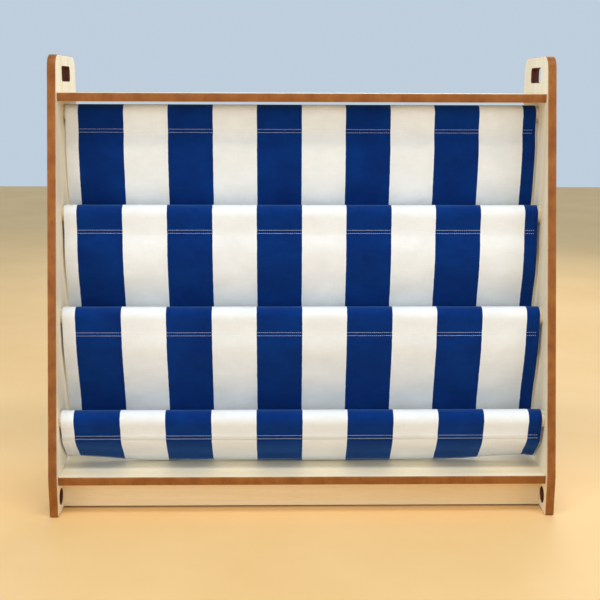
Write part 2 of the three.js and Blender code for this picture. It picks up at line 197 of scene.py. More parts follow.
class Material:
    """A node material with one Principled shader, and short ways to add the nodes that drive it."""

    def __init__(self, name, roughness=0.5, metallic=0.0, specular=0.5, sheen=0.0):
        self.material = bpy.data.materials.new(name)
        self.material.use_nodes = True
        self.tree = self.material.node_tree
        self.shader = self.tree.nodes["Principled BSDF"]
        self.shader.inputs["Roughness"].default_value = roughness
        self.shader.inputs["Metallic"].default_value = metallic
        self.shader.inputs["Specular IOR Level"].default_value = specular
        self.shader.inputs["Sheen Weight"].default_value = sheen

    def node(self, kind, **settings):
        node = self.tree.nodes.new(kind)
        for key, value in settings.items():
            setattr(node, key, value)
        return node

    def feed(self, socket, value):
        if isinstance(value, bpy.types.NodeSocket):
            self.tree.links.new(value, socket)
        else:
            socket.default_value = value

    def math(self, operation, first, second=0.0):
        node = self.node("ShaderNodeMath", operation=operation)
        for socket, value in zip(node.inputs, (first, second)):
            self.feed(socket, value)
        return node.outputs[0]

    def place(self):
        """The point's place in the bookshelf's own frame."""
        return self.node("ShaderNodeTexCoord").outputs["Object"]

    def attribute(self, name, output="Vector"):
        return self.node("ShaderNodeAttribute", attribute_name=name).outputs[output]

    def split(self, vector):
        node = self.node("ShaderNodeSeparateXYZ")
        self.feed(node.inputs[0], vector)
        return node.outputs

    def noise(self, vector, scale, detail, roughness=0.55):
        """Noise with its own scale along each axis: the bigger, the finer."""
        scaled = self.node("ShaderNodeMapping")
        scaled.inputs["Scale"].default_value = scale
        self.feed(scaled.inputs["Vector"], vector)
        node = self.node("ShaderNodeTexNoise")
        node.inputs["Scale"].default_value = 1
        node.inputs["Detail"].default_value = detail
        node.inputs["Roughness"].default_value = roughness
        self.feed(node.inputs["Vector"], scaled.outputs[0])
        return node.outputs["Fac"]

    def spread(self, value, low, high, out_low=0.0, out_high=1.0):
        """The stretch from low to high spread over another one, and held at its ends."""
        node = self.node("ShaderNodeMapRange")
        for key, number in zip(("From Min", "From Max", "To Min", "To Max"), (low, high, out_low, out_high)):
            node.inputs[key].default_value = number
        self.feed(node.inputs["Value"], value)
        return node.outputs[0]

    def mix(self, share, first, second):
        """A colour between two. The node keeps its colours in sockets 6 and 7, and gives one in 2."""
        node = self.node("ShaderNodeMix", data_type="RGBA")
        for index, value in ((0, share), (6, first), (7, second)):
            self.feed(node.inputs[index], value)
        return node.outputs[2]

    def colour(self, value):
        self.feed(self.shader.inputs["Base Color"], value)

    def roughness(self, value):
        self.feed(self.shader.inputs["Roughness"], value)

    def bump(self, height, distance, strength=1.0):
        node = self.node("ShaderNodeBump")
        node.inputs["Strength"].default_value = strength
        node.inputs["Distance"].default_value = distance
        self.feed(node.inputs["Height"], height)
        self.feed(self.shader.inputs["Normal"], node.outputs[0])


def along_grain(axis, across, along):
    """Texture scale that is fine across the grain and long along it."""
    return tuple(along if index == axis else across for index in range(3))


def board_face(name, grain, pale, deep):
    """Maple-grain board face: broad soft bands, fine streaks and short pores, under a satin coat."""
    m = Material(name)
    place = m.place()
    bands = m.noise(place, along_grain(grain, 26, 1.1), 4)
    streaks = m.noise(place, along_grain(grain, 190, 5), 5, 0.65)
    pores = m.noise(place, along_grain(grain, 900, 28), 2)
    banded = m.mix(m.spread(bands, 0.36, 0.66), pale, deep)
    streaked = m.mix(m.spread(streaks, 0.48, 0.74, 0, 0.55), banded, deep)
    pored = m.mix(m.spread(pores, 0.60, 0.74, 0, 0.30), streaked, PORE)
    m.colour(pored)
    m.roughness(m.spread(streaks, 0.3, 0.7, 0.42, 0.56))
    m.bump(m.math("MULTIPLY", pores, -1.0), 0.06 * MM, 0.6)
    return m.material


def board_edge(name, pale, deep, wear_and_highlight):
    """Stained edge of a board: even stain with faint streaks, paler along the arrises as worn stain and a
    painted highlight.
    """
    m = Material(name, specular=0.2)
    place = m.place()
    mottle = m.noise(place, (34, 34, 34), 3)
    streaks = m.noise(place, (420, 260, 60), 4, 0.6)
    stain = m.mix(m.spread(mottle, 0.3, 0.7), deep, pale)
    streaked = m.mix(m.spread(streaks, 0.5, 0.78, 0, 0.4), stain, STAIN_STREAK)
    wear_and_highlight_share = m.math("MULTIPLY", m.attribute("arris", "Fac"), m.spread(mottle, 0.3, 0.6, 0.3 * wear_and_highlight, wear_and_highlight))
    m.colour(m.mix(wear_and_highlight_share, streaked, STAIN_WORN_HIGHLIGHT))
    m.roughness(m.spread(mottle, 0.3, 0.7, 0.38, 0.5))
    m.bump(streaks, 0.1 * MM, 0.5)
    return m.material


def turned_wood(name, pale, deep):
    """Bare turned hardwood: grain along the rod, with the odd darker line."""
    m = Material(name)
    place = m.place()
    grain = m.noise(place, along_grain(0, 320, 7), 4, 0.6)
    lines = m.noise(place, along_grain(0, 110, 2), 3)
    wood = m.mix(m.spread(grain, 0.35, 0.7), pale, deep)
    m.colour(m.mix(m.spread(lines, 0.58, 0.72, 0, 0.4), wood, GRAIN_LINE))
    m.roughness(m.spread(grain, 0.3, 0.7, 0.5, 0.66))
    m.bump(grain, 0.1 * MM, 0.5)
    return m.material


def zinc_steel():
    """Zinc-plated screw steel: faintly mottled, with fine turning marks."""
    m = Material("zinc_steel", metallic=1.0)
    place = m.place()
    mottle = m.noise(place, (500, 500, 500), 3)
    marks = m.noise(place, (200, 2600, 2600), 2)
    m.colour(m.mix(m.spread(mottle, 0.35, 0.65), ZINC_PALE, ZINC_DEEP))
    m.roughness(m.spread(marks, 0.3, 0.7, 0.26, 0.42))
    m.bump(marks, 0.03 * MM, 0.5)
    return m.material


def canvas():
    """Plain-weave cotton canvas in woven navy and cream stripes. It reads where a point lies on the
    flat cloth: across from the left edge, along from the top end, both in metres."""
    m = Material("striped_canvas", specular=0.05, sheen=0.3)
    m.shader.inputs["Sheen Tint"].default_value = NAVY_SHEEN
    cloth = m.attribute("cloth")
    across, along, _ = m.split(cloth)
    wobble = m.math("MULTIPLY", m.math("SUBTRACT", m.noise(cloth, (90, 90, 90), 2), 0.5), STRIPE_WOBBLE)
    turn = m.math("DIVIDE", m.math("SUBTRACT", m.math("ADD", across, wobble), FIRST_STRIPE), 2 * STRIPE)
    wave = m.math("SINE", m.math("MULTIPLY", turn, 2 * math.pi))
    navy = m.spread(wave, *STRIPE_TURN)

    warp = m.noise(cloth, (1500, 38, 1), 2)
    weft = m.noise(cloth, (38, 1500, 1), 2)
    threads = m.math("ADD", m.spread(warp, 0.3, 0.7, -0.5, 0.5), m.spread(weft, 0.3, 0.7, -0.5, 0.5))
    mottle = m.noise(cloth, (14, 14, 1), 4)
    fade = m.noise(cloth, (40, 75, 1), 5, 0.6)
    patches = m.math("ADD", m.spread(mottle, 0.3, 0.7, -0.25, 0.25), m.spread(fade, 0.35, 0.65, -0.1, 0.1))
    shade = m.math("ADD", m.math("MULTIPLY", threads, 0.22), patches)
    level = m.math("ADD", shade, 0.5)
    cream = m.mix(level, CREAM_DEEP, CREAM_PALE)
    blue = m.mix(level, NAVY_DEEP, NAVY_PALE)
    m.colour(m.mix(navy, cream, blue))

    over = m.math("SINE", m.math("MULTIPLY", across, 2 * math.pi / WEAVE_PITCH))
    under = m.math("SINE", m.math("MULTIPLY", along, 2 * math.pi / WEAVE_PITCH))
    weave = m.math("MULTIPLY", over, under)
    m.bump(m.math("ADD", weave, threads), 0.12 * MM, 0.55)
    m.roughness(m.spread(mottle, 0.3, 0.7, 0.82, 0.94))
    return m.material


def thread(name, pale, deep):
    """Twisted sewing thread."""
    m = Material(name, roughness=0.6, specular=0.3)
    strands = m.noise(m.place(), (1800, 900, 900), 2)
    m.colour(m.mix(m.spread(strands, 0.3, 0.7), deep, pale))
    m.bump(strands, 0.08 * MM, 0.6)
    return m.material


def pale_floor():
    """Plain warm floor, with slow changes of tone."""
    m = Material("pale_floor", roughness=0.6)
    soft = m.noise(m.place(), (3, 3, 3), 4)
    m.colour(m.mix(m.spread(soft, 0.3, 0.7), FLOOR_DEEP, FLOOR_PALE))
    return m.material


FINISH = {
    "panel_face": board_face("maple_upright", 2, MAPLE_PALE, MAPLE_DEEP),
    "shelf_face": board_face("maple_level", 0, MAPLE_PALE, MAPLE_DEEP),
    # The kick's laminate is painted darker and warmer, as painted shade under the bottom shelf.
    "shaded_kick_face": board_face("maple_kick_shaded", 0, KICK_SHADED_PALE, KICK_SHADED_DEEP),
    # The edges turn paler at their arrises: worn stain and a painted highlight.
    "edge": board_edge("stained_edge", STAIN_PALE, STAIN_DEEP, 0.45),
    # Painted shade: the holes' walls get a much darker stain than the edges.
    "shaded_cut": board_edge("stain_painted_shade_cut", CUT_SHADED_PALE, CUT_SHADED_DEEP, 0.1),
    "rod": turned_wood("rod_wood", ROD_PALE, ROD_DEEP),
    "dowel": turned_wood("beech_dowel", BEECH_PALE, BEECH_DEEP),
    "steel": zinc_steel(),
    "canvas": canvas(),
    "thread": thread("pale_thread", PALE_THREAD, PALE_THREAD_DEEP),
    "dark_thread": thread("navy_thread", NAVY_THREAD, NAVY_THREAD_DEEP),
    "floor": pale_floor(),
}


# ---------------------------------------------------------------- pieces

def new_piece(name, points, faces, finishes, slot=None, nodes=()):
    """A mesh piece in the bookshelf's frame. With a slot it rides on the body and stands for nodes."""
    mesh = bpy.data.meshes.new(name)
    mesh.from_pydata([tuple(map(float, p)) for p in points], [], faces)
    mesh.validate()
    for finish in finishes:
        mesh.materials.append(FINISH[finish])
    piece = bpy.data.objects.new(name, mesh)
    bpy.context.scene.collection.objects.link(piece)
    if slot:
        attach(piece, BODY)
        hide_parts(*nodes)
    return piece


def set_smooth(mesh, smooth):
    """smooth is True or False for every face, or one of them for each."""
    flags = np.broadcast_to(np.asarray(smooth, bool), len(mesh.polygons))
    mesh.polygons.foreach_set("use_smooth", flags.copy())


def add_attribute(mesh, name, kind, values):
    attribute = mesh.attributes.new(name, kind, "POINT")
    key = "vector" if kind == "FLOAT_VECTOR" else "value"
    attribute.data.foreach_set(key, np.asarray(values, np.float32).ravel())


# ---------------------------------------------------------------- outlines

def arc(centre, radius, start, end, steps):
    angles = np.linspace(start, end, steps + 1)
    return [(centre[0] + radius * math.cos(a), centre[1] + radius * math.sin(a)) for a in angles]


def circle(centre, radius, steps):
    return arc(centre, radius, 0, 2 * math.pi, steps)[:-1]


def rounded(corners, steps=CORNER_STEPS):
    """A closed outline through corners given as (a, b, radius), each rounded, anticlockwise."""
    points = []
    for index, (a, b, radius) in enumerate(corners):
        corner = Vector((a, b))
        if not radius:
            points.append((a, b))
            continue
        back = (Vector(corners[index - 1][:2]) - corner).normalized()
        ahead = (Vector(corners[(index + 1) % len(corners)][:2]) - corner).normalized()
        half = math.acos(back.dot(ahead)) / 2
        centre = corner + (back + ahead).normalized() * (radius / math.sin(half))
        reach = radius / math.tan(half)
        first = corner + back * reach - centre
        last = corner + ahead * reach - centre
        start = math.atan2(first.y, first.x)
        turn = math.remainder(math.atan2(last.y, last.x) - start, 2 * math.pi)
        points += arc(centre, radius, start, start + turn, steps)
    return points


def away_from_inside(outline):
    """At each point of an anticlockwise outline, the vector that offsets both its edges outwards by 1."""
    ahead = np.roll(outline, -1, 0) - outline
    ahead /= np.linalg.norm(ahead, axis=1)[:, None]
    normal = np.stack([ahead[:, 1], -ahead[:, 0]], 1)
    both = normal + np.roll(normal, 1, 0)
    both /= np.linalg.norm(both, axis=1)[:, None]
    return both / (both * normal).sum(1)[:, None]


def eased_profile(thickness, ease):
    """(inset, depth) pairs across a board's edge, from one face to the other, round both arrises."""
    turns = [math.pi / 2 * step / EASE_STEPS for step in range(EASE_STEPS + 1)]
    near = [(ease * (1 - math.sin(a)), ease * (1 - math.cos(a))) for a in turns]
    return near + [(inset, thickness - depth) for inset, depth in reversed(near)]


def loft(loops, place):
    """Points and faces of a board. loops are (outline, profile) pairs: the rim first, then the holes,
    each outline anticlockwise. place(a, b, depth) puts an outline's point into the frame."""
    points, faces, near, far = [], [], [], []
    for index, (outline, profile) in enumerate(loops):
        outline = np.array(outline, float)
        away = away_from_inside(outline) * (1 if index == 0 else -1)
        count = len(outline)
        start = len(points)
        for inset, depth in profile:
            points += [place(a, b, depth) for a, b in outline - away * inset]
        for ring in range(len(profile) - 1):
            low = start + ring * count
            for i in range(count):
                j = (i + 1) % count
                quad = (low + i, low + j, low + count + j, low + count + i)
                faces.append(quad if index == 0 else quad[::-1])
        near.append((outline - away * profile[0][0], range(start, start + count)))
        last = start + (len(profile) - 1) * count
        far.append((outline - away * profile[-1][0], range(last, last + count)))
    for cap, turn in ((near, -1), (far, 1)):
        numbers = [n for _, ring in cap for n in ring]
        flat = [[Vector((a, b, 0)) for a, b in outline] for outline, _ in cap]
        faces += [tuple(numbers[i] for i in triangle)[::turn] for triangle in tessellate_polygon(flat)]
    return points, faces


# ---------------------------------------------------------------- boards

def make_board(name, loops, place, broad, face, node):
    """A board whose broad faces look along axis broad. They get the face finish, the rest of its rim is
    stained, and what is left, its holes' walls or its hidden ends, gets a much darker stain that paints the
    shade inside its holes."""
    points, faces = loft(loops, place)
    mesh = new_piece(name, points, faces, (face, "edge", "shaded_cut"), "laminated_board", (node,)).data
    normals = np.array([p.normal[broad] for p in mesh.polygons])
    is_face = np.abs(normals) > FACE_NORMAL
    rim = len(loops[0][0]) * (len(loops[0][1]) - 1)      # the rim's faces come first
    finish = np.where(np.arange(len(is_face)) < rim, 1, 2)
    mesh.polygons.foreach_set("material_index", np.where(is_face, 0, finish).astype(np.int32))
    set_smooth(mesh, ~is_face)
    low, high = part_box(node)
    level = np.array([p[broad] for p in points])
    depth = np.minimum(level - low[broad], high[broad] - level)
    # Nearness to an arris, where the stained edge turns paler: worn stain and a painted highlight.
    add_attribute(mesh, "arris", "FLOAT", np.clip(1 - depth / EASE, 0, 1))


def screws_in(side):
    """The names of the CAD screws in one side panel."""
    return sorted(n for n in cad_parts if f"_screw_{side}_" in n)


SCREW_SHAPES = {
    "rod": {"head_depth": 3 * MM, "shank": 2.5 * MM, "core": 2.1 * MM, "key": 1.7 * MM},
    "board": {"head_depth": 3.5 * MM, "shank": 3.5 * MM, "core": 2.6 * MM, "key": 2.3 * MM},
}
SCREW_CLEARANCE = 0.3 * MM
BORE_STEPS = 24


def screw_shape(node):
    """Where a screw is, and its sizes. Its box gives its place, its head's radius and its length."""
    low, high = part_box(node)
    shape = SCREW_SHAPES["rod" if node.startswith("sling_rod") else "board"]
    centre = (low + high) / 2
    return {**shape, "y": centre.y, "z": centre.z, "head": (high.y - low.y) / 2, "length": high.x - low.x}


def panel_loops(side):
    """A side panel's outline in (y, z), then its slot, its low hole and its screws' countersunk bores."""
    lean = (REAR - FRONT - TOP_DEPTH) / (HEIGHT - FOOT_HEIGHT)
    rim = rounded([
        (FRONT, 0, BOTTOM_CORNER_RADIUS),
        (REAR, 0, BOTTOM_CORNER_RADIUS),
        (REAR, HEIGHT, TOP_CORNER_RADIUS),
        (REAR - TOP_DEPTH, HEIGHT, TOP_CORNER_RADIUS),
        (FRONT, FOOT_HEIGHT, FOOT_BEND_RADIUS),
    ])
    slot_z = HEIGHT - SLOT_CENTRE_DROP
    slot_y = (FRONT + (slot_z - FOOT_HEIGHT) * lean + REAR) / 2
    half_length, half_height = SLOT_LENGTH / 2, SLOT_HEIGHT / 2
    slot = rounded([
        (slot_y - half_length, slot_z - half_height, SLOT_RADIUS),
        (slot_y + half_length, slot_z - half_height, SLOT_RADIUS),
        (slot_y + half_length, slot_z + half_height, SLOT_RADIUS),
        (slot_y - half_length, slot_z + half_height, SLOT_RADIUS),
    ])
    hole_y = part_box("toe_kick")[0].y - LOW_HOLE_TO_KICK - LOW_HOLE_RADIUS
    hole = circle((hole_y, LOW_HOLE_HEIGHT), LOW_HOLE_RADIUS, 4 * CORNER_STEPS)
    eased = eased_profile(BOARD, EASE)
    loops = [(rim, eased), (slot, eased), (hole, eased)]
    for node in screws_in(side):
        shape = screw_shape(node)
        narrowing = shape["shank"] - shape["head"]
        bore = [(0, 0), (narrowing, shape["head_depth"]), (narrowing, BOARD)]
        radius = shape["head"] + SCREW_CLEARANCE
        loops.append((circle((shape["y"], shape["z"]), radius, BORE_STEPS), bore))
    return loops


def make_side_panel(side):
    sign = SIDES[side]
    node = f"{side}_side_panel"
    make_board(
        f"panel_{side}", panel_loops(side),
        lambda y, z, depth: (sign * (WIDTH / 2 - depth), y, z), 0, "panel_face", node,
    )


def make_cross_board(name, node, broad, eased_corners, face="shelf_face"):
    """A board between the side panels. eased_corners say which of its section's corners are rounded,
    anticlockwise from the lower front one."""
    low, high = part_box(node)
    corners = ((low.y, low.z), (high.y, low.z), (high.y, high.z), (low.y, high.z))
    radii = [EASE if eased else 0 for eased in eased_corners]
    outline = rounded([(y, z, radius) for (y, z), radius in zip(corners, radii)], EASE_STEPS)
    length = high.x - low.x
    make_board(
        name, [(outline, eased_profile(length, END_EASE))],
        lambda y, z, depth: (low.x + depth, y, z), broad, face, node,
    )


def make_boards():
    for side in SIDES:
        make_side_panel(side)
    make_cross_board("shelf_top", "top_shelf", 2, (True, False, False, True))
    make_cross_board("shelf_bottom", "bottom_shelf", 2, (True, False, False, True))
    # The kick board's face finish carries painted shade from the bottom shelf's overhang.
    make_cross_board("kick_board", "toe_kick", 1, (True, True, False, False), "shaded_kick_face")


# ---------------------------------------------------------------- turned pieces

TURN_STEPS = 48
TURN_ANGLES = np.arange(TURN_STEPS) * 2 * math.pi / TURN_STEPS
SHARP_ANGLE = math.radians(40)


def turned(name, rings, finish, slot, node, flip=False):
    """A closed piece along X from (x, radii) rings, where radii is one number or one for each step.
    It is centred on its CAD node, and its first ring is on the node's low side unless flipped."""
    low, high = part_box(node)
    centre = (low + high) / 2
    points, faces = [], []
    for x, radii in rings:
        at = high.x - x if flip else low.x + x
        for r, a in zip(np.broadcast_to(radii, TURN_STEPS), TURN_ANGLES):
            points.append((at, centre.y + r * math.cos(a), centre.z + r * math.sin(a)))
    last = (len(rings) - 1) * TURN_STEPS
    for start in range(0, last, TURN_STEPS):
        for i in range(TURN_STEPS):
            j = (i + 1) % TURN_STEPS
            quad = (start + i, start + j, start + TURN_STEPS + j, start + TURN_STEPS + i)
            faces.append(quad if flip else quad[::-1])
    ends = (tuple(range(TURN_STEPS)), tuple(range(last, last + TURN_STEPS))[::-1])
    faces += [end[::-1] if flip else end for end in ends]
    piece = new_piece(name, points, faces, (finish,), slot, (node,))
    set_smooth(piece.data, [len(p.vertices) == 4 for p in piece.data.polygons])
    piece.data.set_sharp_from_angle(angle=SHARP_ANGLE)
    return piece


def hexagon(across_corners):
    """Radii of a hexagon at the steps around a turned piece."""
    sixth = math.pi / 3
    return across_corners * math.cos(sixth / 2) / np.cos((TURN_ANGLES + sixth / 2) % sixth - sixth / 2)


SCREW_PITCH = 2.6 * MM
SCREW_RIDGE = 0.8 * MM
SCREW_RIDGE_SLOPE = 3.2            # the bigger, the narrower the thread's ridge
SCREW_RING_STEP = SCREW_PITCH / 4
SCREW_COLLAR = 14 * MM             # from the head's top to where the thread starts
SCREW_POINT = 0.1                  # share of the core's radius left at the tip
SCREW_TIP = 5 * MM
SOCKET_DEPTH = 2.5 * MM
SOCKET_CHAMFER = 0.25 * MM
SOCKET_CAP = 0.3                   # the flat cap that closes the socket's floor, as a share of it


def screw_rings(shape):
    """From the floor of the socket out over the head, then along the shank and the thread to the tip."""
    key, head, core = hexagon(shape["key"]), shape["head"], shape["core"]
    rings = [
        (SOCKET_DEPTH, key * SOCKET_CAP), (SOCKET_DEPTH, key),
        (SOCKET_CHAMFER, key), (0, key + SOCKET_CHAMFER),
        (0, head - SOCKET_CHAMFER), (SOCKET_CHAMFER, head), (2 * SOCKET_CHAMFER, head),
        (shape["head_depth"], shape["shank"]), (SCREW_COLLAR, shape["shank"]), (SCREW_COLLAR, core),
    ]
    turns = np.arange(TURN_STEPS) / TURN_STEPS
    tip = shape["length"] - SCREW_TIP
    for x in np.arange(SCREW_COLLAR + SCREW_RING_STEP, tip, SCREW_RING_STEP):
        phase = (x / SCREW_PITCH - turns) % 1
        ridge = SCREW_RIDGE * np.clip(1 - SCREW_RIDGE_SLOPE * np.abs(phase - 0.5), 0, 1)
        rings.append((x, core + ridge))
    rings += [(tip, core), (shape["length"], core * SCREW_POINT)]
    return rings


def make_screws():
    for side in SIDES:
        for node in screws_in(side):
            name = node.replace("_screw_", "_fixing_")
            turned(name, screw_rings(screw_shape(node)), "steel", "screw_steel", node, flip=side == "right")


DOWEL_FLUTES = 12
FLUTE_DEPTH = 0.06                 # share of a dowel's radius
DOWEL_TIP = 0.8                    # radius of a dowel's chamfered end, as a share of its own
ROD_CHAMFER = 0.6 * MM


def make_dowels():
    """Fluted beech dowels. The two on the toe kick stand upright, so they are turned on end."""
    flutes = 1 - FLUTE_DEPTH * (0.5 + 0.5 * np.cos(DOWEL_FLUTES * TURN_ANGLES))
    for node in sorted(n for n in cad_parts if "_dowel_" in n):
        low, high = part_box(node)
        size = high - low
        upright = size.z > size.x
        length, radius = max(size), min(size) / 2
        tip = radius * DOWEL_TIP
        chamfer = radius - tip
        rings = [(0, tip), (chamfer, radius * flutes), (length - chamfer, radius * flutes), (length, tip)]
        if upright:
            offset = (size.x - length) / 2
            rings = [(x + offset, radii) for x, radii in rings]
        piece = turned(node.replace("_dowel_", "_peg_"), rings, "dowel", "dowel_wood", node)
        if upright:
            centre = Matrix.Translation((low + high) / 2)
            piece.data.transform(centre @ Matrix.Rotation(math.pi / 2, 4, "Y") @ centre.inverted())


def make_rods():
    for number in RODS:
        node = f"sling_rod_{number}"
        low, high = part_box(node)
        radius, length = (high.z - low.z) / 2, high.x - low.x
        rings = [
            (0, radius - ROD_CHAMFER), (ROD_CHAMFER, radius),
            (length - ROD_CHAMFER, radius), (length, radius - ROD_CHAMFER),
        ]
        turned(f"rod_{number}", rings, "rod", "rod_wood", node)


# ---------------------------------------------------------------- the sling's section

def rod_axis(number):
    low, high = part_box(f"sling_rod_{number}")
    return (low.y + high.y) / 2, (low.z + high.z) / 2, (high.z - low.z) / 2


SEAM_BOTTOM = rod_axis(1)[1] - SLEEVE_LOW.z      # below a rod's axis
SEAM_TOP = SEAM_BOTTOM - SEAM_HEIGHT


def smooth_step(value):
    value = np.clip(value, 0, 1)
    return value * value * (3 - 2 * value)


def touch_angles(a, b, radius):
    """Where the two lines from (a, b) touch a circle about the origin: the far side's and the near's."""
    towards, spread = math.atan2(b, a), math.acos(radius / math.hypot(a, b))
    return towards + spread, towards - spread + 2 * math.pi


def sleeve_points(number):
    """The cloth's middle line round one rod: up from the seam's rear layer, over the rod from behind,
    and down its front to the seam's front layer."""
    y, z, rod_radius = rod_axis(number)
    radius = rod_radius + ROD_CLEARANCE + CANVAS / 2
    front = -SEAM_FORWARD[number]
    rear = front + LAYER_STEP
    start = touch_angles(rear, -SEAM_TOP, radius)[0]
    end = touch_angles(front, -SEAM_TOP, radius)[1]
    loop = [(rear, -SEAM_BOTTOM), (rear, -SEAM_TOP)]
    loop += arc((0, 0), radius, start, end, 14)
    loop += [(front, -SEAM_TOP), (front, -SEAM_BOTTOM)]
    return [(y + a, z + b) for a, b in loop]


def pocket_points(number, lift):
    """The middle line of the pocket that hangs behind rod number + 1, between its two seams."""
    rear_y, rear_z, _ = rod_axis(number)
    front_y, front_z, _ = rod_axis(number + 1)
    start = (rear_y - SEAM_FORWARD[number], rear_z - SEAM_BOTTOM)
    end = (front_y - SEAM_FORWARD[number + 1] + LAYER_STEP, front_z - SEAM_BOTTOM)
    depth = rod_axis(RODS[-1])[1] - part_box("bottom_shelf")[1].z - POCKET_SHELF_GAP - CANVAS / 2
    bottom = front_z - depth + lift
    points = [(start[0] + back, start[1] + down * (bottom - start[1])) for down, back in REAR_WALLS[number]]
    lowest = points[-1]
    for back, down in FRONT_WALL:
        points.append((end[0] + back * (lowest[0] - end[0]), end[1] + down * (lowest[1] - end[1])))
    return points


def section_points(across):
    """Every point of the cloth's section at one place across it, from -1 at the left to 1."""
    lift = END_LIFT * smooth_step((abs(across) - END_LIFT_FROM) / (1 - END_LIFT_FROM))
    points = []
    for number in RODS:
        points += sleeve_points(number)
        if number in POCKETS:
            points += pocket_points(number, lift)
    return np.array(points)


def smooth_lines(points, counts):
    """Curves through points, an array of (line, point, 2), with counts steps in each span."""
    first = 2 * points[:, :1] - points[:, 1:2]
    last = 2 * points[:, -1:] - points[:, -2:-1]
    padded = np.concatenate([first, points, last], 1)
    gaps = np.sqrt(np.linalg.norm(np.diff(padded, axis=1), axis=2))[..., None]
    rows = []
    for span, count in enumerate(counts):
        p0, p1, p2, p3 = (padded[:, span + k] for k in range(4))
        g0, g1, g2 = (gaps[:, span + k] for k in range(3))
        for share in np.arange(count) / count:
            t = g0 + share * g1
            a1 = p0 + (p1 - p0) * t / g0
            a2 = p1 + (p2 - p1) * (t - g0) / g1
            a3 = p2 + (p3 - p2) * (t - g0 - g1) / g2
            b1 = a1 + (a2 - a1) * t / (g0 + g1)
            b2 = a2 + (a3 - a2) * (t - g0) / (g1 + g2)
            rows.append(b1 + (b2 - b1) * (t - g0) / g1)
    rows.append(points[:, -1])
    return np.stack(rows, 1)


# ---------------------------------------------------------------- the sling's surface

def ripples(across, along, length, seed, count=9):
    """Soft uneven waves about length long, from -1 to 1, the same each run."""
    random = np.random.default_rng(seed)
    total = 0
    for _ in range(count):
        angle = random.uniform(0, 2 * math.pi)
        scale = 2 * math.pi / (length * random.uniform(0.7, 1.6))
        phase = random.uniform(0, 2 * math.pi)
        total = total + np.sin(scale * (across * math.cos(angle) + along * math.sin(angle)) + phase)
    return total / math.sqrt(count)


